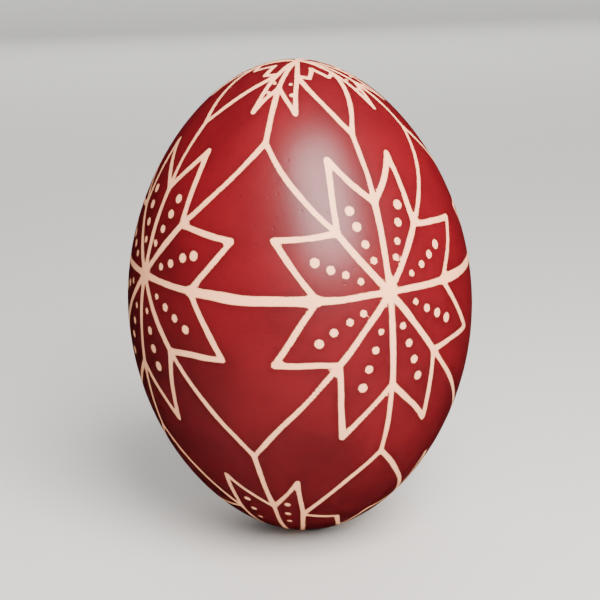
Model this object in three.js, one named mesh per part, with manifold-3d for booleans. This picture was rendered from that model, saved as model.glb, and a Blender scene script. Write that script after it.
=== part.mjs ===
// A pysanka: a whole hen's egg, its shell dyed red over waxed lines, with everything a raw egg
// holds. Millimetres. +Z up, the pointed end on top, the origin at the tip of the blunt end.
//
// The shell, the membranes and the whites are bodies of revolution about Z, one inside the next.
// They share one outline and one set of rings, so that each stays clear of its neighbours.

import * as THREE from "three";
import { mergeVertices } from "three/addons/utils/BufferGeometryUtils.js";
import Module from "manifold-3d";

// ---- the egg's outline
const LENGTH = 60; // tip to tip
const BREADTH = 43; // across the widest ring
const BLUNT_SHIFT = 0.4; // how far below mid-length the widest ring lies
const TAPER = 0.09; // how much both ends are slimmer than an oval's

// ---- walls
const SHELL = 0.38;
const MEMBRANE = 0.1;
const VITELLINE = 0.1;
const PORE_RADIUS = 0.4; // one pore at the blunt end stands for the shell's thousands
const FIT = 0.06; // gap between two layers of one wall
const WHITE_GAP = 0.12; // gap between two layers of the white

// ---- air cell, between the two membranes at the blunt end
const AIR_CELL_DEPTH = 3.6; // from the outer membrane to the inner one, on the axis
const AIR_CELL_SAG = 0.5; // how far the inner membrane hangs down at its middle
const AIR_CELL_SPREAD = 0.25; // how far out that sag reaches, as a share of the breadth

// ---- whites
const OUTER_WHITE = 1.6; // thickest part of the outer thin white, round the middle
const OUTER_WHITE_EDGE = 0.25; // where its rim ends
const OUTER_WHITE_SPAN = [0.22, 0.84]; // shares of the way from the blunt tip to the pointed one
const THICK_WHITE = 1.66; // its thinnest part, beside the yolk
const INNER_WHITE = 1.1;

// ---- yolk and its cords
const YOLK_RAISE = 0.5; // how far the yolk floats above mid-length
const YOLK_CLEARANCE = 0.4; // running gap, in which the yolk turns
const VITELLINE_OPENING = 1; // radius of the hole at each end of the vitelline membrane
const CORD_RADIUS = 0.95;
const CORD_CLEARANCE = 0.65; // between a cord and the channel through the whites
const CORD_FLATNESS = 0.75; // the cord's section, its short width over its long one
const CORD_TWIST = 2.5; // turns in each cord
const CORD_WAIST = 0.2; // how far the cord's radius swings about its mean, as a share of CORD_RADIUS
const CORD_COVER = 1.76; // white between the lower cord and the air cell
const CORD_GAP = 0.3; // between a cord and the yolk

// ---- inside the yolk
const DISC_RADIUS = 1.75;
const DISC_THICKNESS = 0.35;
const DISC_DEPTH = 0.45; // below the yolk's surface
const LATEBRA_RADIUS = 3;
const LATEBRA_NECK = 0.55;
const YOLK_GAP = 0.15; // round the disc and the latebra
const MOUTH_OVERSHOOT = 1; // how far the cut for the disc reaches past the yolk

// ---- fineness
const SIDES = 24;
const RINGS = 18;
const YOLK_RINGS = 14;
const CORD_RINGS = 16;
const CORD_SIDES = 12;
const FLASK_RINGS = 8;
const FLASK_SIDES = 16;
const DISC_SIDES = 24;
const SMALL_SHARE = 1e-4; // half the step over which the outline's direction is taken
const HALVINGS = 40;
const MERGE_WITHIN = 1e-4;

// ---- worked out: depths below the shell's outer face, and radii and lengths inside
const OUTER_MEMBRANE_DEPTH = SHELL + FIT;
const INNER_MEMBRANE_DEPTH = OUTER_MEMBRANE_DEPTH + MEMBRANE + FIT;
const WHITE_DEPTH = INNER_MEMBRANE_DEPTH + MEMBRANE + WHITE_GAP;
const AIR_CELL_FLOOR = OUTER_MEMBRANE_DEPTH + MEMBRANE + AIR_CELL_DEPTH;
const THICK_WHITE_BORE = BREADTH / 2 - WHITE_DEPTH - OUTER_WHITE - THICK_WHITE;
const INNER_WHITE_BORE = THICK_WHITE_BORE - WHITE_GAP - INNER_WHITE;
const CORD_CHANNEL = CORD_RADIUS + CORD_CLEARANCE;
const YOLK_RADIUS = INNER_WHITE_BORE - YOLK_CLEARANCE; // outside the vitelline membrane
const YOLK_CENTRE = LENGTH / 2 + YOLK_RAISE;
const YOLK_LOWEST = YOLK_CENTRE - YOLK_RADIUS;
const CORD_LENGTH = YOLK_LOWEST - CORD_GAP - AIR_CELL_FLOOR - CORD_COVER;

const wasm = await Module();
wasm.setup();

// ---------------------------------------------------------------- outline

// The outline at a share of the way from the blunt tip (0) to the pointed tip (1).
function outline(share) {
  const z = -0.5 * LENGTH * Math.cos(Math.PI * share);
  const along = (2 * z) / LENGTH;
  const shift = (2 * BLUNT_SHIFT) / LENGTH;
  const oval = Math.sqrt(Math.max(1 - along * along, 0) / (1 + 2 * shift * along + shift * shift));
  return new THREE.Vector2(0.5 * BREADTH * oval * (1 - TAPER * along * along), z + LENGTH / 2);
}

// The point at that share, moved square to the outline into the egg.
function inset(share, depth) {
  const below = outline(Math.max(share - SMALL_SHARE, 0));
  const above = outline(Math.min(share + SMALL_SHARE, 1));
  const along = above.sub(below).normalize();
  const point = outline(share);
  return new THREE.Vector2(Math.max(point.x - along.y * depth, 0), point.y + along.x * depth);
}

// The share, in the half that holds start, at which the inset outline is this far from the axis.
function shareAtRadius(radius, depth, start) {
  let near = start;
  let far = 0.5;
  for (let halving = 0; halving < HALVINGS; halving += 1) {
    const middle = (near + far) / 2;
    if (inset(middle, depth(middle)).x < radius) {
      near = middle;
    } else {
      far = middle;
    }
  }
  return far;
}

const steady = (depth) => () => depth;

// Shares of a surface that is open round the axis at the blunt end, and at the other end too
// if topRadius is more than zero.
function ringShares(depth, bottomRadius, topRadius) {
  const first = shareAtRadius(bottomRadius, depth, 0);
  const last = topRadius > 0 ? shareAtRadius(topRadius, depth, 1) : 1;
  const between = [];
  for (let ring = 1; ring < RINGS; ring += 1) {
    const share = ring / RINGS;
    if (share > first && share < last) between.push(share);
  }
  return [first, ...between, last];
}

// Keeps a point above the floor of the air cell, which hangs lowest on the axis.
function aboveAirCell(point, lift) {
  const rim = Math.min(point.x / (AIR_CELL_SPREAD * BREADTH), 1);
  const floor = AIR_CELL_FLOOR + lift - AIR_CELL_SAG * (1 - rim * rim);
  return new THREE.Vector2(point.x, Math.max(point.y, floor));
}

// ---------------------------------------------------------------- solids

// Turns a profile about Z. The profile starts and ends on the axis, or closes on itself.
function turned(profile, sides = SIDES) {
  const shape = new THREE.LatheGeometry(profile, sides);
  shape.rotateX(Math.PI / 2);
  return shape;
}

// A wall of the whole egg between two depths, open at the pore.
function wall(depth, thickness, place) {
  const outside = ringShares(steady(depth), PORE_RADIUS, 0).map((s) => place(inset(s, depth), 0));
  const within = depth + thickness;
  const inside = ringShares(steady(within), PORE_RADIUS, 0).map((s) =>
    place(inset(s, within), thickness),
  );
  return turned([...outside.reverse(), ...inside].reverse());
}

const asItIs = (point) => point;

// The points of a ball about the yolk's centre, from top to bottom, open round the axis.
function ballArc(radius, opening) {
  const start = Math.asin(opening / radius);
  const points = [];
  for (let ring = 0; ring <= YOLK_RINGS; ring += 1) {
    const angle = start + ((Math.PI - 2 * start) * ring) / YOLK_RINGS;
    points.push(
      new THREE.Vector2(radius * Math.sin(angle), YOLK_CENTRE + radius * Math.cos(angle)),
    );
  }
  return points;
}

function closed(points) {
  return [...points, points[0].clone()];
}

// A ball-shaped wall open at both ends of its axis.
function ballWall(outer, inner, opening) {
  return turned(closed([...ballArc(outer, opening).reverse(), ...ballArc(inner, opening)]));
}

// How thick the outer thin white is at a share of the way up.
function outerWhiteThickness(share) {
  const [low, high] = OUTER_WHITE_SPAN;
  const way = THREE.MathUtils.clamp((share - low) / (high - low), 0, 1);
  return OUTER_WHITE * Math.sin(Math.PI * way) ** 2;
}

function outerThinWhite() {
  const shares = [];
  for (let ring = 1; ring < RINGS; ring += 1) {
    const share = ring / RINGS;
    if (outerWhiteThickness(share) - WHITE_GAP > OUTER_WHITE_EDGE) shares.push(share);
  }
  const outside = shares.map((s) => inset(s, WHITE_DEPTH));
  const inside = shares.map((s) => inset(s, WHITE_DEPTH + outerWhiteThickness(s) - WHITE_GAP));
  return turned(closed([...outside, ...inside.reverse()]));
}

function thickWhite() {
  const depth = (share) => WHITE_DEPTH + outerWhiteThickness(share);
  const lift = MEMBRANE + WHITE_GAP;
  const outside = ringShares(depth, CORD_CHANNEL, CORD_CHANNEL).map((s) =>
    aboveAirCell(inset(s, depth(s)), lift),
  );
  return turned(closed([...outside, ...ballArc(THICK_WHITE_BORE, CORD_CHANNEL)]));
}

// A twisted cord that stands on the origin and runs up.
function cord() {
  const profile = [new THREE.Vector2(0, 0)];
  for (let ring = 0; ring <= CORD_RINGS; ring += 1) {
    const way = ring / CORD_RINGS;
    const swell = 1 - CORD_WAIST + CORD_WAIST * Math.cos(2 * Math.PI * way);
    profile.push(new THREE.Vector2(CORD_RADIUS * swell, CORD_LENGTH * way));
  }
  profile.push(new THREE.Vector2(0, CORD_LENGTH));
  const shape = turned(profile, CORD_SIDES);
  const places = shape.attributes.position;
  for (let index = 0; index < places.count; index += 1) {
    const turn = (2 * Math.PI * CORD_TWIST * places.getZ(index)) / CORD_LENGTH;
    const x = places.getX(index);
    const y = places.getY(index) * CORD_FLATNESS;
    places.setXY(
      index,
      x * Math.cos(turn) - y * Math.sin(turn),
      x * Math.sin(turn) + y * Math.cos(turn),
    );
  }
  return shape;
}

// A flask: a ball on the origin with a neck along X. The neck may open into a wider mouth.
function flask(ballRadius, neckRadius, neckEnd, mouth = null) {
  const profile = [new THREE.Vector2(0, -ballRadius)];
  const start = Math.PI - Math.asin(neckRadius / ballRadius);
  for (let ring = 1; ring <= FLASK_RINGS; ring += 1) {
    const angle = (start * ring) / FLASK_RINGS;
    profile.push(
      new THREE.Vector2(ballRadius * Math.sin(angle), -ballRadius * Math.cos(angle)),
    );
  }
  profile.push(new THREE.Vector2(neckRadius, neckEnd));
  if (mouth) {
    profile.push(new THREE.Vector2(mouth.radius, neckEnd));
    profile.push(new THREE.Vector2(mouth.radius, mouth.end));
  }
  profile.push(new THREE.Vector2(0, mouth ? mouth.end : neckEnd));
  const shape = new THREE.LatheGeometry(profile, FLASK_SIDES);
  shape.rotateZ(-Math.PI / 2);
  return shape;
}

// ---------------------------------------------------------------- cutting

function toManifold(geometry) {
  const bare = geometry.clone();
  bare.deleteAttribute("normal");
  bare.deleteAttribute("uv");
  const merged = mergeVertices(bare, MERGE_WITHIN);
  return new wasm.Manifold(
    new wasm.Mesh({
      numProp: 3,
      vertProperties: new Float32Array(merged.attributes.position.array),
      triVerts: new Uint32Array(merged.index.array),
    }),
  );
}

function fromManifold(solid) {
  const mesh = solid.getMesh();
  const geometry = new THREE.BufferGeometry();
  geometry.setAttribute("position", new THREE.BufferAttribute(mesh.vertProperties, 3));
  geometry.setIndex(new THREE.BufferAttribute(mesh.triVerts, 1));
  geometry.computeVertexNormals();
  return geometry;
}

function yolk() {
  const radius = YOLK_RADIUS - VITELLINE - FIT;
  const round = ballArc(radius, VITELLINE_OPENING);
  const top = new THREE.Vector2(0, round[0].y);
  const bottom = new THREE.Vector2(0, round[round.length - 1].y);
  const ball = toManifold(turned([top, ...round, bottom].reverse()));
  const discFloor = radius - DISC_DEPTH - DISC_THICKNESS - YOLK_GAP;
  const mouth = { radius: DISC_RADIUS + YOLK_GAP, end: YOLK_RADIUS + MOUTH_OVERSHOOT };
  const hollow = flask(LATEBRA_RADIUS + YOLK_GAP, LATEBRA_NECK + YOLK_GAP, discFloor, mouth);
  hollow.translate(0, 0, YOLK_CENTRE);
  return fromManifold(ball.subtract(toManifold(hollow)));
}

// ---------------------------------------------------------------- the egg

const egg = new THREE.Group();

function add(name, geometry, colour, roughness, parent = egg) {
  const material = new THREE.MeshStandardMaterial({ color: colour, roughness, metalness: 0 });
  const mesh = new THREE.Mesh(geometry, material);
  mesh.name = name;
  parent.add(mesh);
  return mesh;
}

add("eggshell", wall(0, SHELL, asItIs), 0x9e1b22, 0.35);
add("outer_shell_membrane", wall(OUTER_MEMBRANE_DEPTH, MEMBRANE, asItIs), 0xf1ece2, 0.8);
add("inner_shell_membrane", wall(INNER_MEMBRANE_DEPTH, MEMBRANE, aboveAirCell), 0xf4efe6, 0.75);
add("outer_thin_white", outerThinWhite(), 0xf2edcf, 0.1);
add("thick_white", thickWhite(), 0xefe8c2, 0.15);
add(
  "inner_thin_white",
  ballWall(THICK_WHITE_BORE - WHITE_GAP, INNER_WHITE_BORE, CORD_CHANNEL),
  0xf2edcf,
  0.1,
);

const upperCord = add("chalaza_pointed_end", cord(), 0xf7f4ea, 0.4);
upperCord.position.z = YOLK_CENTRE + YOLK_RADIUS + CORD_GAP;
const lowerCord = add("chalaza_blunt_end", cord(), 0xf7f4ea, 0.4);
lowerCord.rotation.x = Math.PI;
lowerCord.position.z = YOLK_LOWEST - CORD_GAP;

// What turns as one about Z.
const yolkGroup = new THREE.Group();
egg.add(yolkGroup);
add(
  "vitelline_membrane",
  ballWall(YOLK_RADIUS, YOLK_RADIUS - VITELLINE, VITELLINE_OPENING),
  0xf3d98a,
  0.3,
  yolkGroup,
);
add("yolk", yolk(), 0xf0a81c, 0.35, yolkGroup);

const yolkFace = YOLK_RADIUS - VITELLINE - FIT - DISC_DEPTH;
const disc = new THREE.CylinderGeometry(DISC_RADIUS, DISC_RADIUS, DISC_THICKNESS, DISC_SIDES);
const discMesh = add("germinal_disc", disc, 0xf8f0d8, 0.5, yolkGroup);
discMesh.rotation.z = -Math.PI / 2;
discMesh.position.set(yolkFace - DISC_THICKNESS / 2, 0, YOLK_CENTRE);

const neckEnd = yolkFace - DISC_THICKNESS - 2 * YOLK_GAP;
const latebraShape = flask(LATEBRA_RADIUS, LATEBRA_NECK, neckEnd);
const latebra = add("latebra", latebraShape, 0xf6d98c, 0.45, yolkGroup);
latebra.position.z = YOLK_CENTRE;

export default egg;
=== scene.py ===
"""A pysanka: a whole hen's egg with a net of eight-pointed stars, drawn in wax before it was dyed.

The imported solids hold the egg's sizes. This add-on builds its finished surfaces round them: the
dyed shell with its undyed lines, the membranes, the whites, the twisted cords and the yolk.
Sizes in the settings are millimetres unless their description says otherwise.
"""

import math

import bpy
import numpy as np
from bpy.props import FloatProperty, FloatVectorProperty, IntProperty, PointerProperty
from mathutils import Matrix, Quaternion, Vector


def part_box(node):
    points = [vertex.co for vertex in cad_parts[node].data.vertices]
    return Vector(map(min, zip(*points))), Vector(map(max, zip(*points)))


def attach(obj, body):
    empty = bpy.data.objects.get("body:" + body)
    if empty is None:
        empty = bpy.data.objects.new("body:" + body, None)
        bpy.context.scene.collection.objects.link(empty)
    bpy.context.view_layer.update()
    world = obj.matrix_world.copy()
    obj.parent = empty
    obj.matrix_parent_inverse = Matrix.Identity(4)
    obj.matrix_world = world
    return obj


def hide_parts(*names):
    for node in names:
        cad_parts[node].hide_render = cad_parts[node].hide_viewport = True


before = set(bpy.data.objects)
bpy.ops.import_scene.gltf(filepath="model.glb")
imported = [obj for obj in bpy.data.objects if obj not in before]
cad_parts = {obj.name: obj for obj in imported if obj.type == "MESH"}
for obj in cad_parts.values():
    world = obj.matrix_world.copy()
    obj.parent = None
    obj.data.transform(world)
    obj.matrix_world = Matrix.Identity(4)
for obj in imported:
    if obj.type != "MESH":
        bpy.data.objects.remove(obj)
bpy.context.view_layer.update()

bl_info = {
    "name": "Pysanka",
    "version": (1, 0, 0),
    "blender": (4, 5, 0),
    "location": "View3D > Sidebar > Pysanka",
    "description": "Builds a wax-resist Easter egg with everything inside it",
    "category": "Add Mesh",
}

MM = 0.001
AWAY = 9.0  # a distance from any line, in mm, that counts as far
NEARLY_ZERO = 1e-9


def span(node, axis):
    """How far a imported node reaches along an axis, in mm."""
    low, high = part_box(node)
    return (high[axis] - low[axis]) / MM


def middle(node, axis):
    """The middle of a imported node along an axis, in mm."""
    low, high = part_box(node)
    return (high[axis] + low[axis]) / 2 / MM


# ------------------------------------------------------------------ settings


def size(default, name, description, **limits):
    return FloatProperty(name=name, description=description, default=default, **limits)


def colour(default, name, description):
    return FloatVectorProperty(
        name=name,
        description=description,
        default=default,
        size=3,
        subtype="COLOR",
        min=0.0,
        max=1.0,
    )


class EggSizes(bpy.types.PropertyGroup):
    """The egg's outline and walls."""

    length: size(span("eggshell", 2), "Length", "Tip to tip", min=1.0)
    breadth: size(span("eggshell", 0), "Breadth", "Across the widest ring", min=1.0)
    blunt_shift: size(0.4, "Blunt shift", "How far below mid-length the widest ring lies")
    taper: size(0.09, "Taper", "How much slimmer than an oval's the ends are")
    shell: size(0.38, "Shell", "Thickness of the shell")
    membrane: size(0.1, "Membrane", "Thickness of each shell membrane")
    pore: size(0.4, "Pore", "Radius of the pore at the blunt end")
    air_cell: size(4.14, "Air cell", "Height of the air cell's roof above the blunt tip")
    air_cell_sag: size(0.5, "Air cell sag", "How far the roof hangs at its middle")
    outer_white: size(1.6, "Outer white", "Thickest part of the outer thin white")
    inner_white: size(1.1, "Inner white", "Thickness of the inner thin white")
    white_gap: size(0.12, "White gap", "Gap between two layers of the white")
    cord_channel: size(1.6, "Cord channel", "Radius of the way that a cord fills")
    vitelline: size(0.1, "Vitelline", "Thickness of the yolk's skin")
    latebra: size(3.0, "Latebra", "Radius of the yolk's white core")
    latebra_neck: size(0.55, "Latebra neck", "Radius of the core's neck")


class Drawing(bpy.types.PropertyGroup):
    """The waxed lines and dots."""

    belt: size(6.7, "Belt", "Height of the belt line above mid-length, before it leans")
    turn: FloatProperty(
        name="Turn",
        description="Where one star faces, to the right of -Y",
        default=math.radians(28.6),
        subtype="ANGLE",
    )
    lean_forward: FloatProperty(
        name="Lean forward",
        description="How far the drawing's own axis leans towards -Y from the egg's",
        default=math.radians(2.8),
        subtype="ANGLE",
    )
    lean_right: FloatProperty(
        name="Lean right",
        description="How far the drawing's own axis leans towards +X from the egg's",
        default=math.radians(1.6),
        subtype="ANGLE",
    )
    stars: IntProperty(name="Stars", description="Stars round the belt", default=4, min=3)
    belt_line: size(1.1, "Belt line", "Width of the belt line")
    spoke: size(0.72, "Spoke", "Width of a star's spokes")
    edge: size(0.66, "Edge", "Width of a petal's edge")
    net: size(0.58, "Net", "Width of the net's lines")
    end_line: size(0.5, "End line", "Width of the lines of the stars at the two tips")
    dot: size(0.95, "Dot", "Width of a middling dot")
    waver: size(0.09, "Waver", "How far a drawn line strays from its course")
    slip: size(0.16, "Slip", "How far a corner misses its place")
    seed: IntProperty(name="Hand", description="Which hand drew it", default=11)


class Finish(bpy.types.PropertyGroup):
    """Colours of the egg and its stage."""

    dye: colour((0.132, 0.0039, 0.0074), "Dye", "Dyed shell where the dye took well")
    dye_deep: colour((0.082, 0.0026, 0.0051), "Deep dye", "Dyed shell where the dye pooled")
    bare: colour((1.0, 0.47, 0.25), "Bare shell", "Shell that wax kept undyed")
    inside: colour((0.86, 0.8, 0.7), "Inside", "The shell's inner face")
    membrane: colour((0.86, 0.8, 0.7), "Membrane", "Shell membranes")
    white: colour((0.8, 0.76, 0.5), "White", "Thick white")
    yolk: colour((0.8, 0.3, 0.02), "Yolk", "Yolk")
    floor: colour((0.55, 0.54, 0.52), "Floor", "The floor that the egg stands on")


class Pysanka(bpy.types.PropertyGroup):
    """All the settings."""

    egg: PointerProperty(type=EggSizes)
    drawing: PointerProperty(type=Drawing)
    finish: PointerProperty(type=Finish)


# ------------------------------------------------------------------ the outline

SMALL_SHARE = 1e-4  # a step along the outline that its slope is taken over
FINE_STEPS = 4001
AIR_CELL_SPREAD = 0.25  # how far out the air cell's roof sags, as a share of the breadth


def outline(egg, share):
    """Radius and height at a share of the way from the blunt tip (0) to the pointed one (1)."""
    along = -np.cos(np.pi * share)
    shift = 2 * egg.blunt_shift / egg.length
    oval = np.sqrt(np.clip(1 - along**2, 0, 1) / (1 + 2 * shift * along + shift**2))
    radius = 0.5 * egg.breadth * oval * (1 - egg.taper * along**2)
    return radius, 0.5 * egg.length * (1 + along)


def inset(egg, share, depth):
    """The outline moved square to itself into the egg."""
    low = outline(egg, np.clip(share - SMALL_SHARE, 0, 1))
    high = outline(egg, np.clip(share + SMALL_SHARE, 0, 1))
    across, up = high[0] - low[0], high[1] - low[1]
    long = np.hypot(across, up)
    radius, height = outline(egg, share)
    return np.clip(radius - up / long * depth, 0, None), height + across / long * depth


def layer_line(egg, depth, rings, open_bottom, open_top=0.0):
    """Points of an inset outline from the blunt end up, open round the axis by these radii."""
    fine = np.linspace(0, 1, FINE_STEPS)
    radius = inset(egg, fine, depth if np.isscalar(depth) else depth(fine))[0]
    half = len(fine) // 2
    first = np.interp(open_bottom, radius[:half], fine[:half])
    last = np.interp(open_top, radius[:half:-1], fine[:half:-1]) if open_top else 1.0
    shares = np.linspace(first, last, rings)
    deep = depth if np.isscalar(depth) else depth(shares)
    return np.column_stack(inset(egg, shares, deep))


def above_air_cell(egg, points, lift):
    """Keeps points above the air cell's roof."""
    rim = np.clip(points[:, 0] / (AIR_CELL_SPREAD * egg.breadth), 0, 1)
    roof = egg.air_cell + lift - egg.air_cell_sag * (1 - rim**2)
    return np.column_stack((points[:, 0], np.maximum(points[:, 1], roof)))


# ------------------------------------------------------------------ modelling

MERGE_WITHIN = 2e-7  # metres
SMOOTH_UNDER = 40.0  # degrees between faces that are shaded as one


def deselect():
    if bpy.context.object and bpy.context.object.mode != "OBJECT":
        bpy.ops.object.mode_set(mode="OBJECT")
    bpy.ops.object.select_all(action="DESELECT")


def set_places(piece, places):
    piece.data.vertices.foreach_set("co", np.asarray(places, float).ravel())
    piece.data.update()


def get_places(piece):
    places = np.empty(len(piece.data.vertices) * 3)
    piece.data.vertices.foreach_get("co", places)
    return places.reshape(-1, 3)


def select_where(piece, kind, wanted):
    """Selects the vertices or edges for which wanted is true, from object mode."""
    bpy.ops.object.mode_set(mode="EDIT")
    bpy.ops.mesh.select_mode(type=kind)
    bpy.ops.mesh.select_all(action="DESELECT")
    bpy.ops.object.mode_set(mode="OBJECT")
    items = piece.data.vertices if kind == "VERT" else piece.data.edges
    items.foreach_set("select", np.asarray(wanted, bool))
    bpy.ops.object.mode_set(mode="EDIT")


def tidy_edit():
    """Merges doubles and points every face outwards, in edit mode."""
    bpy.ops.mesh.select_all(action="SELECT")
    bpy.ops.mesh.remove_doubles(threshold=MERGE_WITHIN)
    bpy.ops.mesh.normals_make_consistent(inside=False)


def spun(name, section, steps):
    """Turns a closed section of (radius, height) points about Z, in mm."""
    deselect()
    bpy.ops.mesh.primitive_circle_add(vertices=len(section), radius=MM)
    piece = bpy.context.object
    piece.name = name
    piece.data.name = name
    places = np.zeros((len(section), 3))
    places[:, 0] = section[:, 0] * MM
    places[:, 2] = section[:, 1] * MM
    set_places(piece, places)
    ends = np.array([edge.vertices[:] for edge in piece.data.edges])
    select_where(piece, "EDGE", (section[ends, 0] < NEARLY_ZERO).all(axis=1))
    bpy.ops.mesh.delete(type="EDGE")
    bpy.ops.mesh.select_mode(type="VERT")
    bpy.ops.mesh.select_all(action="SELECT")
    bpy.ops.mesh.spin(steps=steps, angle=2 * math.pi, center=(0, 0, 0), axis=(0, 0, 1))
    tidy_edit()
    bpy.ops.object.mode_set(mode="OBJECT")
    return piece


def finished(piece, material, body, nodes, smooth=SMOOTH_UNDER):
    """Applies the piece's place, shades it, gives it its material, hangs it on its body and hides the
    imported nodes that it stands for.
    """
    deselect()
    piece.select_set(True)
    bpy.context.view_layer.objects.active = piece
    bpy.ops.object.transform_apply(location=True, rotation=True, scale=True)
    bpy.ops.object.shade_smooth_by_angle(angle=math.radians(smooth))
    piece.data.materials.clear()
    piece.data.materials.append(material)
    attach(piece, body)
    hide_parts(*nodes)
    return piece


# ------------------------------------------------------------------ the drawing

WALK_STEPS = 2001
POINT_EVERY = 0.9  # mm between the points of a line
BENDS = ((1.0, 3.1), (0.5, 1.3))  # how strong, and mm to a radian along the line
BEATS = ((0.06, 1.7), (0.04, 0.8))  # the same for the line's width
SWELL_START = 0.1  # how much wider a line is where the pen is set down
SWELL_END = 0.06
SWELL_FADE = 0.7  # mm
DOT_SLIP = 0.45  # share of a corner's slip
DOT_WIDTHS = (0.93, 1.08)
END_SLIP = 0.7
LINE_MARGIN = 2.0  # mm round a line within which distances to it are worked out


def on_egg(egg, longitude, height):
    """The direction, on a unit ball, of a place on the egg. Degrees to the right of -Y, and mm
    above mid-length."""
    up = height / (0.5 * egg.length)
    out = math.sqrt(1 - up * up)
    angle = math.radians(longitude)
    return np.array([out * math.sin(angle), -out * math.cos(angle), up])


def from_tip(egg, top, longitude, reach):
    """The direction of a place this far along the shell from one tip."""
    share = np.linspace(0, 1, WALK_STEPS)
    radius, height = outline(egg, share)
    walk = np.concatenate(([0], np.cumsum(np.hypot(np.diff(radius), np.diff(height)))))
    along = walk[-1] - reach if top else reach
    height = np.interp(along, walk, height)
    return on_egg(egg, longitude, height - egg.length / 2)


def on_surface(egg, drawing, directions):
    """Places on the shell's outer face, in mm, of directions on the unit ball, once the drawing
    has leaned."""
    semi = np.array((egg.breadth, egg.breadth, egg.length)) / 2
    lean = Matrix.Rotation(drawing.lean_right, 3, "Y") @ Matrix.Rotation(drawing.lean_forward, 3, "X")
    unit = (directions * semi) @ np.array(lean).T / semi
    unit /= np.linalg.norm(unit, axis=-1, keepdims=True)
    share = 1 - np.arccos(np.clip(unit[..., 2], -1, 1)) / np.pi
    radius, height = outline(egg, share)
    flat = np.maximum(np.hypot(unit[..., 0], unit[..., 1]), 1e-12)
    return np.stack((unit[..., 0] / flat * radius, unit[..., 1] / flat * radius, height), -1)


def part_way(start, end, way, level):
    """Directions between two. A level course (1) turns and climbs evenly, as round a pencil grid;
    the other (0) is the shortest."""
    short = np.outer(1 - way, start) + np.outer(way, end)
    short /= np.linalg.norm(short, axis=1, keepdims=True)
    if not level:
        return short
    first, last = np.unwrap([math.atan2(place[0], -place[1]) for place in (start, end)])
    turn = first + (last - first) * way
    up = start[2] + (end[2] - start[2]) * way
    out = np.sqrt(1 - up**2)
    grid = np.column_stack((out * np.sin(turn), -out * np.cos(turn), up))
    return level * grid + (1 - level) * short


def ripple(waves, along, lags):
    """Adds up waves, each (how strong, mm to a radian), at these distances along a line."""
    return sum(strong * np.sin(along / wide + lag) for (strong, wide), lag in zip(waves, lags))


class Hand:
    """Draws lines and dots on the egg as a steady hand does: nearly straight, nearly even."""

    def __init__(self, egg, drawing):
        self.egg = egg
        self.drawing = drawing
        self.random = np.random.RandomState(drawing.seed)
        self.strokes = []
        self.dots = []

    def slip(self, direction, share=1.0):
        """A corner set down a little off its place."""
        off = self.random.normal(size=3) * self.drawing.slip * share / self.egg.length * 2
        moved = direction + off
        return moved / np.linalg.norm(moved)

    def stroke(self, start, end, width, level=1):
        """A line between two places, as points on the shell and half widths."""
        ends = on_surface(self.egg, self.drawing, np.array((start, end)))
        long = np.linalg.norm(ends[0] - ends[1])
        count = max(int(long / POINT_EVERY), 2) + 1
        way = np.linspace(0, 1, count)
        course = part_way(start, end, way, level)
        side = np.cross(start, end)
        side /= max(np.linalg.norm(side), NEARLY_ZERO)
        phase = self.random.uniform(0, 2 * np.pi, 4)
        along = way * long
        bend = np.sin(np.pi * way) * ripple(BENDS, along, phase[:2])
        course += np.outer(bend * self.drawing.waver / self.egg.length * 2, side)
        beat = ripple(BEATS, along, phase[2:])
        swell = SWELL_START * np.exp(-along / SWELL_FADE)
        swell += SWELL_END * np.exp(-(long - along) / SWELL_FADE)
        course = on_surface(self.egg, self.drawing, course)
        self.strokes.append((course, 0.5 * width * (1 + beat + swell)))

    def dot(self, centre, width):
        """A dot, set down a little off its place and a little off its size."""
        place = on_surface(self.egg, self.drawing, self.slip(centre, DOT_SLIP))
        self.dots.append((place, 0.5 * width * self.random.uniform(*DOT_WIDTHS)))

    def dot_row(self, start, tip, shares, widths):
        for centre, width in zip(part_way(start, tip, np.array(shares), 1), widths):
            self.dot(centre, width)


# Corners of a belt star from its centre: degrees to the right, mm up. Between two notches is a tip.
BELT_NOTCHES = ((0.0, 9.9), (16.0, 6.7), (23.7, -0.35), (17.0, -7.9), (0.0, -10.6))
BELT_TIPS = ((15.8, 14.5), (37.7, 6.1), (37.3, -7.3), (15.8, -16.5))
BELT_DOT_SHARES = (0.255, 0.38, 0.51, 0.635)
BELT_DOT_SIZES = (0.86, 0.98, 1.08, 1.16)
# Where the net's lines meet and where they fork, in mm above the belt, and how level they run
# from a fork.
NET_TOP = (16.2, 16.9, 0.5)
NET_BOTTOM = (-19.6, -19.4, 1)
# Corners of an end star: degrees from the direction between two belt stars, mm from the tip.
TOP_STAR = ((-1.5, 7.4), (14.6, 11.4), (14.5, 4.8), (31.0, 5.4), (45.0, 3.2))
BOTTOM_STAR = ((3.0, 17.4), (15.0, 23.1), (16.5, 16.1), (35.0, 15.0), (45.0, 9.8))
# Dots of an end star's long petals: degrees and mm as above, and their widths.
TOP_DOTS = ((10.5, 8.4, 0.5), (9.0, 6.6, 0.45))
BOTTOM_DOTS = ((9.4, 18.6, 0.84), (9.0, 16.2, 0.74), (8.8, 13.6, 0.62))


def mirrored_ring(right_half):
    """A list of corners down the right side of a star, followed by those up its left side."""
    left = [(-turn, up) for turn, up in reversed(right_half) if abs(turn) > NEARLY_ZERO]
    return list(right_half) + left


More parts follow.
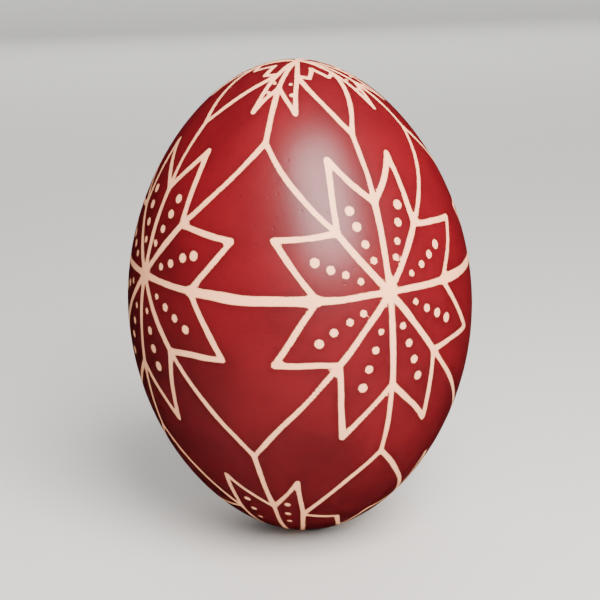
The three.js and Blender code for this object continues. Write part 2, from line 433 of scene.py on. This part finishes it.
def belt_star(hand, longitude):
    """One star of the belt: eight spokes, eight split petals and their dots. Gives its notches."""
    egg, drawing = hand.egg, hand.drawing

    def corner(place):
        return hand.slip(on_egg(egg, longitude + place[0], drawing.belt + place[1]))

    centre = on_egg(egg, longitude, drawing.belt)
    notches = [corner(place) for place in mirrored_ring(BELT_NOTCHES)]
    tips = [corner(place) for place in mirrored_ring(BELT_TIPS)]
    for index, tip in enumerate(tips):
        after = notches[(index + 1) % len(notches)]
        hand.stroke(notches[index], tip, drawing.edge)
        hand.stroke(tip, after, drawing.edge)
        widths = [drawing.dot * share for share in BELT_DOT_SIZES]
        hand.dot_row(centre, tip, BELT_DOT_SHARES, widths)
    for notch in notches:
        hand.stroke(centre, notch, drawing.spoke)
    return notches


def end_star(hand, top, corners, dots, between):
    """The star over one tip. Gives the notches that the net joins, by direction."""
    egg, drawing = hand.egg, hand.drawing
    ends = {}
    tip_of_egg = from_tip(egg, top, 0.0, 0.0)
    for quarter in range(drawing.stars):
        middle_way = between + quarter * 360.0 / drawing.stars
        shared = hand.slip(from_tip(egg, top, middle_way + corners[0][0], corners[0][1]))
        hand.stroke(tip_of_egg, shared, drawing.end_line, 0)
        ends[quarter, 0] = shared
        for side in (-1, 1):
            tip, notch, short_tip, last = (
                hand.slip(from_tip(egg, top, middle_way + side * turn, reach), END_SLIP)
                for turn, reach in corners[1:]
            )
            for start, end in (
                (shared, tip),
                (tip, notch),
                (notch, short_tip),
                (short_tip, last),
                (tip_of_egg, notch),
            ):
                hand.stroke(start, end, drawing.end_line, 0)
            for turn, reach, width in dots:
                hand.dot(from_tip(egg, top, middle_way + side * turn, reach), width)
            ends[quarter, side] = notch
    return ends


def draw_net(egg, drawing):
    """All the waxed lines and dots."""
    hand = Hand(egg, drawing)
    step = 360.0 / drawing.stars
    turn = math.degrees(drawing.turn)
    stars = [belt_star(hand, turn + index * step) for index in range(drawing.stars)]
    between = turn - step / 2
    for index, star in enumerate(stars):
        after = stars[(index + 1) % drawing.stars]
        hand.stroke(star[2], after[6], drawing.belt_line)
    for top, corners, dots, net in (
        (True, TOP_STAR, TOP_DOTS, NET_TOP),
        (False, BOTTOM_STAR, BOTTOM_DOTS, NET_BOTTOM),
    ):
        ends = end_star(hand, top, corners, dots, between)
        right, left, middle_notch = (1, 7, 0) if top else (3, 5, 4)
        for index, star in enumerate(stars):
            before = stars[index - 1]
            meeting_way, fork_way = between + index * step, turn + index * step
            meeting = hand.slip(on_egg(egg, meeting_way, drawing.belt + net[0]))
            hand.stroke(before[right], meeting, drawing.net)
            hand.stroke(star[left], meeting, drawing.net)
            hand.stroke(meeting, ends[index, 0], drawing.net, 0)
            fork = hand.slip(on_egg(egg, fork_way, drawing.belt + net[1]))
            hand.stroke(star[middle_notch], fork, drawing.net)
            after = (index + 1) % drawing.stars
            hand.stroke(fork, ends[index, 1], drawing.net, net[2])
            hand.stroke(fork, ends[after, -1], drawing.net, net[2])
    return hand


def distance_to_drawing(hand, places):
    """How far each place is outside the waxed lines and dots, in mm, less than 0 inside them."""
    nearest = np.full(len(places), AWAY)
    for course, half in hand.strokes:
        centre = course.mean(axis=0)
        reach = np.linalg.norm(course - centre, axis=1).max() + LINE_MARGIN
        near = np.flatnonzero(((places - centre) ** 2).sum(axis=1) < reach**2)
        start, along = course[:-1], np.diff(course, axis=0)
        gap = places[near][:, None, :] - start
        way = np.clip((gap * along).sum(-1) / (along**2).sum(-1), 0, 1)
        off = np.linalg.norm(gap - way[..., None] * along, axis=-1)
        off -= half[:-1] + way * np.diff(half)
        nearest[near] = np.minimum(nearest[near], off.min(axis=1))
    for centre, half in hand.dots:
        off = np.linalg.norm(places - centre, axis=1) - half
        nearest = np.minimum(nearest, off)
    return nearest


# ------------------------------------------------------------------ shader sheets


class Wire:
    """A shader socket that takes part in arithmetic."""

    def __init__(self, sheet, socket):
        self.sheet = sheet
        self.socket = socket

    def _with(self, operation, first, second):
        return self.sheet.node("ShaderNodeMath", {"operation": operation}, {0: first, 1: second})

    def __add__(self, other):
        return self._with("ADD", self, other)

    def __radd__(self, other):
        return self._with("ADD", other, self)

    def __sub__(self, other):
        return self._with("SUBTRACT", self, other)

    def __rsub__(self, other):
        return self._with("SUBTRACT", other, self)

    def __mul__(self, other):
        return self._with("MULTIPLY", self, other)

    def __rmul__(self, other):
        return self._with("MULTIPLY", other, self)

    def __truediv__(self, other):
        return self._with("DIVIDE", self, other)

    def __pow__(self, other):
        return self._with("POWER", self, other)


class Sheet:
    """A material with its nodes."""

    def __init__(self, name):
        self.material = bpy.data.materials.new(name)
        self.material.use_nodes = True
        self.tree = self.material.node_tree
        self.tree.nodes.clear()

    def node(self, kind, settings=None, values=None, output=0):
        """Adds a node. Its settings come first, then the values or links of its sockets."""
        made = self.tree.nodes.new(kind)
        for name, value in (settings or {}).items():
            setattr(made, name, value)
        for key, value in (values or {}).items():
            socket = made.inputs[key]
            if isinstance(value, Wire):
                self.tree.links.new(value.socket, socket)
            elif socket.type == "RGBA":
                socket.default_value = (*value, 1.0)
            else:
                socket.default_value = value
        return None if output is None else Wire(self, made.outputs[output])

    def attribute(self, name):
        """A number that the mesh carries."""
        return self.node("ShaderNodeAttribute", {"attribute_name": name}, output="Fac")

    def place(self):
        return self.node("ShaderNodeTexCoord", output="Object")

    def noise(self, scale, detail=2.0, roughness=0.5):
        """Noise on the piece's own coordinates, with features 1 / scale metres wide."""
        values = {"Vector": self.place(), "Scale": scale, "Detail": detail, "Roughness": roughness}
        return self.node("ShaderNodeTexNoise", None, values, "Fac")

    def smooth(self, value, low, high):
        """Goes smoothly from 0 at low to 1 at high."""
        settings = {"interpolation_type": "SMOOTHSTEP"}
        return self.node(
            "ShaderNodeMapRange", settings, {"Value": value, "From Min": low, "From Max": high}
        )

    def mix(self, share, first, second):
        """Mixes two colours."""
        values = {0: share, 6: first, 7: second}
        return self.node("ShaderNodeMix", {"data_type": "RGBA"}, values, 2)

    def bump(self, height, strength, distance):
        values = {"Height": height, "Strength": strength, "Distance": distance}
        return self.node("ShaderNodeBump", None, values, "Normal")

    def principled(self, **values):
        """Ends the sheet in one principled surface. Underscores in names stand for spaces."""
        sockets = {name.replace("_", " "): value for name, value in values.items()}
        shader = self.node("ShaderNodeBsdfPrincipled", None, sockets)
        self.node("ShaderNodeOutputMaterial", None, {"Surface": shader}, None)
        return self.material


# ------------------------------------------------------------------ finishes

MIDDLE = 0.5  # what noise is on average
# The dyed shell. Distances are in mm from the edge of a waxed line, less than 0 inside it.
RAGGED_FINE = 0.11  # how far the dye crept under the wax
RAGGED_COARSE = 0.08
DYE_EDGE = (-0.05, 0.07)
STAIN_EDGE = (-0.32, 0.02)
STAIN_RAGGED = 1.5  # how much more ragged than the dye's edge the stain's is
STAIN = (0.1, 0.22)  # least and unevenness of the dye that got under the wax
STAIN_DYE = 0.25
BESIDE_LINE = 1.1
BESIDE_DEPTH = 0.1
GRAIN_DEPTH = 0.22
DEPTH_RANGE = (0.28, 0.82)
PORES_PER_METRE = 780.0
PORE_REACH = 0.17
PORE_DYE = 0.35
PORE_SHADE = 0.55
PEEL_FINE = 0.7
PEEL_COARSE = 0.6
PORE_DIP = 0.9
BARE_DIP = 0.12
# The membranes, the whites, the cords, the yolk and the floor.
SKIN_SHADE = 0.86
WHITE_LIGHTER = 1.12
STRAND_DARK = (0.72, 0.68, 0.56)
STRAND_PALE = (0.9, 0.88, 0.8)
YOLK_PALER = (1.15, 0.03)
YOLK_DEEPER = 0.8
DISC_PALE = (0.86, 0.82, 0.68)
DISC_RIM = (0.84, 0.66, 0.3)
DISC_RING = (0.0006, 0.0016)  # metres from the disc's middle
DISC_STRAY = 0.0004
CORE_DARK = (0.8, 0.58, 0.2)
CORE_PALE = (0.88, 0.74, 0.42)
FLOOR_LIGHTER = 1.02


def scaled(shade, share, lift=0.0):
    """A colour made darker or lighter, no lighter than 1."""
    return tuple(min(1.0, share * part + lift) for part in shade)


def dyed_shell(finish):
    """Eggshell dyed red round undyed lines, buffed to a soft sheen. The dye never went inside."""
    sheet = Sheet("dyed_shell")
    line = sheet.attribute("line_mm")
    ragged = (sheet.noise(scale=1500, detail=3) - MIDDLE) * RAGGED_FINE
    ragged = ragged + (sheet.noise(scale=420, detail=2) - MIDDLE) * RAGGED_COARSE
    bare = 1 - sheet.smooth(line + ragged, *DYE_EDGE)
    beside = 1 - sheet.smooth(line, 0.0, BESIDE_LINE)
    cloud = sheet.noise(scale=95, detail=4, roughness=0.55)
    grain = sheet.noise(scale=1300, detail=2, roughness=0.6)
    cells = {"Vector": sheet.place(), "Scale": PORES_PER_METRE, "Randomness": 1.0}
    near_pore = sheet.node("ShaderNodeTexVoronoi", None, cells, "Distance")
    pore = 1 - sheet.smooth(near_pore, 0.0, PORE_REACH)
    uneven = cloud + (grain - MIDDLE) * GRAIN_DEPTH + beside * BESIDE_DEPTH
    depth = sheet.smooth(uneven, *DEPTH_RANGE)
    field = sheet.mix(depth, finish.dye, finish.dye_deep)
    field = sheet.mix(pore * PORE_DYE, field, scaled(finish.dye_deep, PORE_SHADE))
    crept = sheet.smooth(line + ragged * STAIN_RAGGED, *STAIN_EDGE)
    stain = crept * (STAIN[0] + STAIN[1] * sheet.noise(scale=240, detail=2))
    thin = tuple((1 - STAIN_DYE) * a + STAIN_DYE * b for a, b in zip(finish.bare, finish.dye))
    undyed = sheet.mix(stain, finish.bare, thin)
    painted = sheet.mix(bare, field, undyed)
    everything = sheet.mix(sheet.attribute("inner_face"), painted, finish.inside)
    peel = sheet.noise(scale=1100, detail=2, roughness=0.5) * PEEL_FINE
    peel = peel + sheet.noise(scale=240, detail=1) * PEEL_COARSE
    height = peel - pore * PORE_DIP - bare * BARE_DIP
    return sheet.principled(
        Base_Color=everything,
        Roughness=0.34 + 0.08 * grain + 0.05 * bare,
        Specular_IOR_Level=0.3,
        Coat_Weight=0.16,
        Coat_Roughness=0.3,
        Normal=sheet.bump(height, strength=0.55, distance=0.00004),
    )


def fibrous_skin(finish):
    """The felt of fine fibres that both shell membranes are."""
    sheet = Sheet("shell_membrane")
    fibre = sheet.node(
        "ShaderNodeTexNoise",
        None,
        {"Vector": sheet.place(), "Scale": 900.0, "Detail": 5.0, "Distortion": 2.5},
        "Fac",
    )
    cloud = sheet.noise(scale=120, detail=2)
    shade = sheet.mix(
        sheet.smooth(fibre + cloud * 0.4, low=0.4, high=0.9),
        scaled(finish.membrane, SKIN_SHADE),
        finish.membrane,
    )
    return sheet.principled(
        Base_Color=shade,
        Roughness=0.62 + 0.2 * fibre,
        Normal=sheet.bump(fibre, strength=0.4, distance=0.00005),
    )


def albumen(finish, name, strength):
    """Egg white: pale straw, wet, cloudier where it is thick."""
    sheet = Sheet(name)
    cloud = sheet.noise(scale=160, detail=3, roughness=0.6)
    strand = sheet.noise(scale=520, detail=2)
    shade = sheet.mix(
        sheet.smooth(cloud + strand * 0.3, low=0.4, high=0.9),
        scaled(finish.white, strength),
        scaled(finish.white, WHITE_LIGHTER),
    )
    return sheet.principled(
        Base_Color=shade,
        Roughness=0.08 + 0.1 * cloud,
        Subsurface_Weight=0.5,
        Subsurface_Radius=(0.004, 0.004, 0.003),
        Coat_Weight=0.4,
        Normal=sheet.bump(cloud, strength=0.3, distance=0.0002),
    )


def cord_finish():
    """Milky twisted strands."""
    sheet = Sheet("chalaza")
    strand = sheet.noise(scale=1500, detail=3, roughness=0.6)
    shade = sheet.mix(strand, STRAND_DARK, STRAND_PALE)
    return sheet.principled(
        Base_Color=shade,
        Roughness=0.25 + 0.15 * strand,
        Subsurface_Weight=0.3,
        Subsurface_Radius=(0.001, 0.001, 0.001),
        Normal=sheet.bump(strand, strength=0.4, distance=0.0001),
    )


def yolk_skin(finish):
    """The yolk's thin wet skin, the yolk's own colour showing through."""
    sheet = Sheet("vitelline_membrane")
    cloud = sheet.noise(scale=260, detail=3, roughness=0.55)
    pale = scaled(finish.yolk, *YOLK_PALER)
    return sheet.principled(
        Base_Color=sheet.mix(sheet.smooth(cloud, low=0.35, high=0.7), finish.yolk, pale),
        Roughness=0.16 + 0.1 * cloud,
        Coat_Weight=0.5,
        Normal=sheet.bump(cloud, strength=0.25, distance=0.0001),
    )


def yolk_finish(finish):
    """Yolk, mottled where its light and dark layers come near the face."""
    sheet = Sheet("yolk")
    cloud = sheet.noise(scale=190, detail=4, roughness=0.6)
    grain = sheet.noise(scale=1400, detail=2)
    deep = scaled(finish.yolk, YOLK_DEEPER)
    mottle = sheet.smooth(cloud + grain * 0.2, low=0.4, high=0.8)
    return sheet.principled(
        Base_Color=sheet.mix(mottle, deep, finish.yolk),
        Roughness=0.3 + 0.15 * grain,
        Subsurface_Weight=0.3,
        Subsurface_Radius=(0.003, 0.0015, 0.0005),
        Normal=sheet.bump(grain, strength=0.3, distance=0.00006),
    )


def disc_finish(centre):
    """The germinal disc: a pale spot with a paler middle."""
    sheet = Sheet("germinal_disc")
    parts = sheet.node("ShaderNodeSeparateXYZ", None, {0: sheet.place()}, "Y")
    across = Wire(sheet, parts.socket)
    up = Wire(sheet, parts.socket.node.outputs["Z"]) - centre
    away = (across * across + up * up) ** 0.5
    ring = sheet.smooth(away + sheet.noise(scale=1800, detail=2) * DISC_STRAY, *DISC_RING)
    shade = sheet.mix(ring, DISC_PALE, DISC_RIM)
    return sheet.principled(
        Base_Color=shade,
        Roughness=0.4 + 0.2 * ring,
        Normal=sheet.bump(sheet.noise(scale=1600, detail=2), strength=0.3, distance=0.00005),
    )


def white_yolk():
    """The pale core of the yolk."""
    sheet = Sheet("white_yolk")
    cloud = sheet.noise(scale=700, detail=3)
    shade = sheet.mix(cloud, CORE_DARK, CORE_PALE)
    return sheet.principled(
        Base_Color=shade,
        Roughness=0.4 + 0.2 * cloud,
        Normal=sheet.bump(cloud, strength=0.3, distance=0.0001),
    )


def floor_finish(finish):
    """A plain pale matt floor."""
    sheet = Sheet("studio_floor")
    cloud = sheet.noise(scale=9, detail=2)
    light = scaled(finish.floor, FLOOR_LIGHTER)
    return sheet.principled(
        Base_Color=sheet.mix(cloud, finish.floor, light),
        Roughness=0.75 + 0.1 * cloud,
        Specular_IOR_Level=0.3,
    )


# ------------------------------------------------------------------ the pieces

SHELL_STEPS = 340
SHELL_RINGS = 230
SHELL_INNER_RINGS = 44
LAYER_STEPS = 96
LAYER_RINGS = 60
BALL_RINGS = 44
OUTER_WHITE_SPAN = (0.22, 0.84)  # shares of the way from the blunt tip to the pointed one
OUTER_WHITE_RIM = 0.12  # mm, as thin as its edge gets
CORD_SIDES = 30
CORD_SLICES = 56
CORD_STRANDS = 3
CORD_TWISTS = 2.5
CORD_LOBES = (0.78, 0.22)  # share of the radius that is round, and that the strands stand out
CORD_SWELL = (0.83, 0.15)  # share of the radius that a slice has, and how much the ends gain
CORD_TIP = 0.5  # how wide a cord's tips are, as a share of what follows
CORD_TIP_LENGTH = 0.06  # share of the cord's length
CORD_SMOOTH = 60.0
SKIN_OPENING = 1.0  # mm, radius of the yolk skin's openings on the axis
SKIN_GAP = 0.06  # mm between the yolk and its skin
CORE_GAP = 0.15  # mm round the core and the disc
PAST_YOLK = 1  # mm that the cut for the disc goes on outside the yolk
FLASK_RINGS = 24
FLASK_SIDES = 48
DISC_SIDES = 48
DISC_BEVEL = 0.4  # share of the disc's thickness
DISC_BEVEL_STEPS = 3


def settings(context):
    made = context.scene.pysanka
    return made.egg, made.drawing, made.finish


def wall_section(egg, depth, thickness, place=None, rings=(LAYER_RINGS, LAYER_RINGS)):
    """The cut through a wall of the whole egg, open at the pore."""
    outer = layer_line(egg, depth, rings[0], egg.pore)
    inner = layer_line(egg, depth + thickness, rings[1], egg.pore)
    if place:
        outer, inner = place(outer, 0.0), place(inner, thickness)
    return np.vstack((outer[::-1], inner))


def ball_line(radius, centre, opening):
    """Points of a ball's outline from top to bottom, open round the axis."""
    start = math.asin(opening / radius)
    angle = np.linspace(start, np.pi - start, BALL_RINGS)
    return np.column_stack((radius * np.sin(angle), centre + radius * np.cos(angle)))


def depth_of(node):
    """How deep below the shell's outer face a packed layer starts, in mm."""
    return (span("eggshell", 0) - span(node, 0)) / 2


class PYSANKA_OT_shell(bpy.types.Operator):
    """Turn the dyed eggshell and mark where the wax kept it bare"""

    bl_idname = "pysanka.shell"
    bl_label = "Eggshell"

    def execute(self, context):
        egg, drawing, finish = settings(context)
        rings = (SHELL_RINGS, SHELL_INNER_RINGS)
        shell = spun("dyed_eggshell", wall_section(egg, 0.0, egg.shell, None, rings), SHELL_STEPS)
        places = get_places(shell) / MM
        along = np.clip(2 * places[:, 2] / egg.length - 1, -1, 1)
        outer_radius = outline(egg, np.arccos(-along) / np.pi)[0]
        inner = outer_radius - np.hypot(places[:, 0], places[:, 1]) > 0.5 * egg.shell
        off = np.full(len(places), AWAY)
        off[~inner] = distance_to_drawing(draw_net(egg, drawing), places[~inner])
        for name, values in (("line_mm", off), ("inner_face", inner.astype(float))):
            kept = shell.data.attributes.new(name, "FLOAT", "POINT")
            kept.data.foreach_set("value", values)
        finished(shell, dyed_shell(finish), "egg", ["eggshell"])
        return {"FINISHED"}


class PYSANKA_OT_membranes(bpy.types.Operator):
    """Turn the two shell membranes, parted by the air cell at the blunt end"""

    bl_idname = "pysanka.membranes"
    bl_label = "Shell membranes"

    def execute(self, context):
        egg, _, finish = settings(context)
        skin = fibrous_skin(finish)

        def lifted(points, lift):
            return above_air_cell(egg, points, lift)

        for node, place in (("outer_shell_membrane", None), ("inner_shell_membrane", lifted)):
            section = wall_section(egg, depth_of(node), egg.membrane, place)
            piece = spun(node.replace("_shell", ""), section, LAYER_STEPS)
            finished(piece, skin, "egg", [node])
        return {"FINISHED"}


class PYSANKA_OT_whites(bpy.types.Operator):
    """Turn the three layers of the white"""

    bl_idname = "pysanka.whites"
    bl_label = "Whites"

    def execute(self, context):
        egg, _, finish = settings(context)
        depth = depth_of("outer_thin_white")
        low, high = OUTER_WHITE_SPAN

        def belt(share):
            way = np.clip((share - low) / (high - low), 0, 1)
            return egg.outer_white * np.sin(np.pi * way) ** 2

        shares = np.linspace(low, high, LAYER_RINGS)
        shares = shares[belt(shares) - egg.white_gap > OUTER_WHITE_RIM]
        outside = np.column_stack(inset(egg, shares, depth))
        inside = np.column_stack(inset(egg, shares, depth + belt(shares) - egg.white_gap))
        section = np.vstack((outside, inside[::-1]))
        thin = albumen(finish, "thin_white", 0.96)
        piece = spun("outer_thin_albumen", section, LAYER_STEPS)
        finished(piece, thin, "egg", ["outer_thin_white"])

        centre = middle("vitelline_membrane", 2)
        bore = span("inner_thin_white", 0) / 2 + egg.white_gap
        outside = layer_line(
            egg, lambda s: depth + belt(s), LAYER_RINGS, egg.cord_channel, egg.cord_channel
        )
        outside = above_air_cell(egg, outside, egg.membrane + egg.white_gap)
        section = np.vstack((outside, ball_line(bore, centre, egg.cord_channel)))
        piece = spun("thick_albumen", section, LAYER_STEPS)
        thick = albumen(finish, "thick_white", 0.85)
        finished(piece, thick, "egg", ["thick_white"])

        outer = bore - egg.white_gap
        inner = outer - egg.inner_white
        section = np.vstack(
            (
                ball_line(outer, centre, egg.cord_channel)[::-1],
                ball_line(inner, centre, egg.cord_channel),
            )
        )
        piece = spun("inner_thin_albumen", section, LAYER_STEPS)
        finished(piece, thin, "egg", ["inner_thin_white"])
        return {"FINISHED"}


class PYSANKA_OT_cords(bpy.types.Operator):
    """Twist the two cords that hold the yolk"""

    bl_idname = "pysanka.cords"
    bl_label = "Cords"

    def execute(self, context):
        milky = cord_finish()
        for node, name in (
            ("chalaza_pointed_end", "upper_cord"),
            ("chalaza_blunt_end", "lower_cord"),
        ):
            piece = self.twisted(name, node)
            finished(piece, milky, "egg", [node], CORD_SMOOTH)
        return {"FINISHED"}

    def twisted(self, name, node):
        """Three strands twisted together, drawn up slice by slice."""
        low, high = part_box(node)
        tall = high[2] - low[2]
        radius = 0.5 * min(high[0] - low[0], high[1] - low[1])
        deselect()
        bpy.ops.mesh.primitive_circle_add(vertices=CORD_SIDES, radius=radius, fill_type="NGON")
        cord = bpy.context.object
        cord.name = name
        cord.data.name = name
        places = get_places(cord)
        angle = np.arctan2(places[:, 1], places[:, 0])
        lobes = CORD_LOBES[0] + CORD_LOBES[1] * np.cos(CORD_STRANDS * angle)
        places *= lobes[:, None]
        set_places(cord, places)
        bpy.ops.object.mode_set(mode="EDIT")
        bpy.ops.mesh.select_all(action="SELECT")
        bpy.ops.transform.resize(value=(CORD_TIP, CORD_TIP, 1))
        bpy.ops.transform.translate(value=(0, 0, low[2]))
        wide = CORD_TIP
        turn = 2 * math.pi * CORD_TWISTS / CORD_SLICES
        for slice_ in range(1, CORD_SLICES + 1):
            way = slice_ / CORD_SLICES
            ends = min(way, 1 - way) / CORD_TIP_LENGTH
            wanted = CORD_SWELL[0] + CORD_SWELL[1] * math.cos(2 * math.pi * way)
            wanted *= min(1, CORD_TIP + (1 - CORD_TIP) * ends)
            height = low[2] + tall * way
            rise = {"value": (0, 0, tall / CORD_SLICES)}
            bpy.ops.mesh.extrude_region_move(TRANSFORM_OT_translate=rise)
            bpy.ops.transform.rotate(value=turn, orient_axis="Z", center_override=(0, 0, height))
            grow = wanted / wide
            bpy.ops.transform.resize(value=(grow, grow, 1), center_override=(0, 0, height))
            wide = wanted
        tidy_edit()
        bpy.ops.object.mode_set(mode="OBJECT")
        return cord


class PYSANKA_OT_yolk(bpy.types.Operator):
    """Shape the yolk, its skin, its germinal disc and its pale core"""

    bl_idname = "pysanka.yolk"
    bl_label = "Yolk"

    def execute(self, context):
        egg, _, finish = settings(context)
        centre = middle("vitelline_membrane", 2)
        radius = span("vitelline_membrane", 0) / 2
        section = np.vstack(
            (
                ball_line(radius, centre, SKIN_OPENING)[::-1],
                ball_line(radius - egg.vitelline, centre, SKIN_OPENING),
            )
        )
        skin = spun("yolk_skin", section, LAYER_STEPS)
        finished(
            skin, yolk_skin(finish), "yolk_ball", ["vitelline_membrane"]
        )

        disc_low, disc_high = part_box("germinal_disc")
        neck_end = disc_low[0] / MM - CORE_GAP
        mouth = (disc_high[2] - disc_low[2]) / 2 / MM + CORE_GAP
        core = self.flask("yolk_core", egg.latebra, egg.latebra_neck, neck_end)
        hollow = self.flask(
            "hollow",
            egg.latebra + CORE_GAP,
            egg.latebra_neck + CORE_GAP,
            neck_end,
            (mouth, radius + PAST_YOLK),
        )
        for piece in (core, hollow):
            piece.location.z = centre * MM

        deselect()
        bpy.ops.mesh.primitive_uv_sphere_add(
            segments=LAYER_STEPS,
            ring_count=BALL_RINGS,
            radius=(radius - egg.vitelline - SKIN_GAP) * MM,
            location=(0, 0, centre * MM),
        )
        ball = bpy.context.object
        ball.name = "yolk_mass"
        ball.data.name = "yolk_mass"
        cut = ball.modifiers.new("disc_and_core", "BOOLEAN")
        cut.operation = "DIFFERENCE"
        cut.object = hollow
        bpy.ops.object.modifier_apply(modifier=cut.name)
        bpy.data.objects.remove(hollow)
        finished(ball, yolk_finish(finish), "yolk_ball", ["yolk"])
        finished(core, white_yolk(), "yolk_ball", ["latebra"])
        self.disc(disc_low, disc_high)
        return {"FINISHED"}

    def flask(self, name, ball, neck, neck_end, mouth=None):
        """A ball with a neck along X, and a wider mouth if it has one, as (radius, end)."""
        stop = math.pi - math.asin(neck / ball)
        angle = np.linspace(0, stop, FLASK_RINGS)
        points = [(ball * math.sin(a), -ball * math.cos(a)) for a in angle]
        points.append((neck, neck_end))
        if mouth:
            points += [(mouth[0], neck_end), mouth]
        points.append((0.0, mouth[1] if mouth else neck_end))
        piece = spun(name, np.array(points), FLASK_SIDES)
        piece.rotation_euler = (0, math.pi / 2, 0)
        return piece

    def disc(self, low, high):
        """A thin round pad with a soft rim and a raised middle."""
        deselect()
        thick = high[0] - low[0]
        bpy.ops.mesh.primitive_cylinder_add(
            vertices=DISC_SIDES,
            radius=(high[2] - low[2]) / 2,
            depth=thick,
            end_fill_type="NGON",
        )
        pad = bpy.context.object
        pad.name = "germinal_spot"
        pad.data.name = "germinal_spot"
        bpy.ops.object.mode_set(mode="EDIT")
        bpy.ops.mesh.select_all(action="SELECT")
        bpy.ops.mesh.bevel(
            offset=DISC_BEVEL * thick, segments=DISC_BEVEL_STEPS, affect="EDGES"
        )
        bpy.ops.object.mode_set(mode="OBJECT")
        pad.rotation_euler = (0, math.pi / 2, 0)
        pad.location = [(a + b) / 2 for a, b in zip(low, high)]
        spot = disc_finish(pad.location.z)
        finished(pad, spot, "yolk_ball", ["germinal_disc"])


FLOOR_SIZE = 40.0  # metres
WORLD_TINT = (0.95, 0.97, 1.0, 1)
WORLD_STRENGTH = 0.2
WHITE_LIGHT = (1.0, 1.0, 1.0)
# Each lamp: the place it is aimed at, in metres (None is the egg's middle), degrees to the right
# of -Y, degrees up, metres away, width and height in metres, watts and tint. Only the key lamp
# makes a highlight.
LAMPS = {
    "key_lamp": (None, 24, 42, 0.24, (0.125, 0.2), 2.2, (1.0, 0.93, 0.9)),
    "fill_lamp": (None, -70, 15, 0.7, (0.6, 0.6), 0.3, (0.97, 0.98, 1.0)),
    "back_lamp": (None, 180, 35, 0.8, (0.8, 0.8), 4.2, WHITE_LIGHT),
    "far_lamp": ((0, 2.4, 0), 0, 85, 1.3, (5.0, 3.0), 90.0, WHITE_LIGHT),
    "side_lamp": ((1.9, -1.9, 0), 0, 85, 1.3, (5.0, 3.0), 90.0, WHITE_LIGHT),
}
CAMERA_RISE = 15.0  # degrees
CAMERA_AWAY = 0.172  # metres
CAMERA_ROLL = -2.1  # degrees
CAMERA_LENS = 82.0  # mm, as is the sensor's width
CAMERA_SENSOR = 36.0
CAMERA_NEAREST = 0.01


class PYSANKA_OT_stage(bpy.types.Operator):
    """Set the floor, the lamps and the camera"""

    bl_idname = "pysanka.stage"
    bl_label = "Stage"

    def execute(self, context):
        egg, _, finish = settings(context)
        aim = Vector((0, 0, 0.5 * egg.length * MM))
        deselect()
        bpy.ops.mesh.primitive_plane_add(size=FLOOR_SIZE)
        floor = context.object
        floor.name = "floor"
        floor.data.materials.append(floor_finish(finish))
        floor.visible_glossy = False
        world = bpy.data.worlds.new("studio")
        world.use_nodes = True
        sky = world.node_tree.nodes["Background"]
        sky.inputs["Color"].default_value = WORLD_TINT
        sky.inputs["Strength"].default_value = WORLD_STRENGTH
        world.cycles_visibility.glossy = False
        context.scene.world = world
        for name, (spot, *rest) in LAMPS.items():
            lamp = self.lamp(name, Vector(spot) if spot else aim, *rest)
            lamp.visible_glossy = name == "key_lamp"
        self.camera(context, aim)
        return {"FINISHED"}

    def around(self, aim, turn, rise, away):
        """A place at degrees to the right of -Y and degrees up, this far from the aim."""
        turn, rise = math.radians(turn), math.radians(rise)
        flat = away * math.cos(rise)
        return aim + Vector((flat * math.sin(turn), -flat * math.cos(turn), away * math.sin(rise)))

    def lamp(self, name, aim, turn, rise, away, extent, power, tint):
        place = self.around(aim, turn, rise, away)
        facing = (aim - place).to_track_quat("-Z", "Y").to_euler()
        bpy.ops.object.light_add(type="AREA", location=place, rotation=facing)
        lamp = bpy.context.object
        lamp.name = name
        lamp.data.shape = "RECTANGLE"
        lamp.data.size, lamp.data.size_y = extent
        lamp.data.energy = power
        lamp.data.color = tint
        return lamp

    def camera(self, context, aim):
        place = self.around(aim, 0, CAMERA_RISE, CAMERA_AWAY)
        facing = (aim - place).to_track_quat("-Z", "Y")
        roll = Quaternion((0, 0, 1), math.radians(CAMERA_ROLL))
        bpy.ops.object.camera_add(location=place, rotation=(facing @ roll).to_euler())
        camera = context.object
        camera.name = "camera"
        camera.data.sensor_width = CAMERA_SENSOR
        camera.data.lens = CAMERA_LENS
        camera.data.clip_start = CAMERA_NEAREST
        context.scene.camera = camera


class PYSANKA_PT_panel(bpy.types.Panel):
    """Lists the pieces"""

    bl_label = "Pysanka"
    bl_idname = "PYSANKA_PT_panel"
    bl_space_type = "VIEW_3D"
    bl_region_type = "UI"
    bl_category = "Pysanka"

    def draw(self, context):
        for operator in OPERATORS:
            self.layout.operator(operator.bl_idname)
        for group in settings(context):
            box = self.layout.box()
            for name in group.__annotations__:
                box.prop(group, name)


OPERATORS = (
    PYSANKA_OT_stage,
    PYSANKA_OT_shell,
    PYSANKA_OT_membranes,
    PYSANKA_OT_whites,
    PYSANKA_OT_cords,
    PYSANKA_OT_yolk,
)
CLASSES = (EggSizes, Drawing, Finish, Pysanka, *OPERATORS, PYSANKA_PT_panel)


def register():
    for made in CLASSES:
        bpy.utils.register_class(made)
    bpy.types.Scene.pysanka = PointerProperty(type=Pysanka)


def unregister():
    del bpy.types.Scene.pysanka
    for made in reversed(CLASSES):
        bpy.utils.unregister_class(made)


def main():
    """Builds the egg and its stage."""
    register()
    bpy.ops.pysanka.stage()
    bpy.ops.pysanka.shell()
    bpy.ops.pysanka.membranes()
    bpy.ops.pysanka.whites()
    bpy.ops.pysanka.cords()
    bpy.ops.pysanka.yolk()
    deselect()


if __name__ == "__main__":
    main()
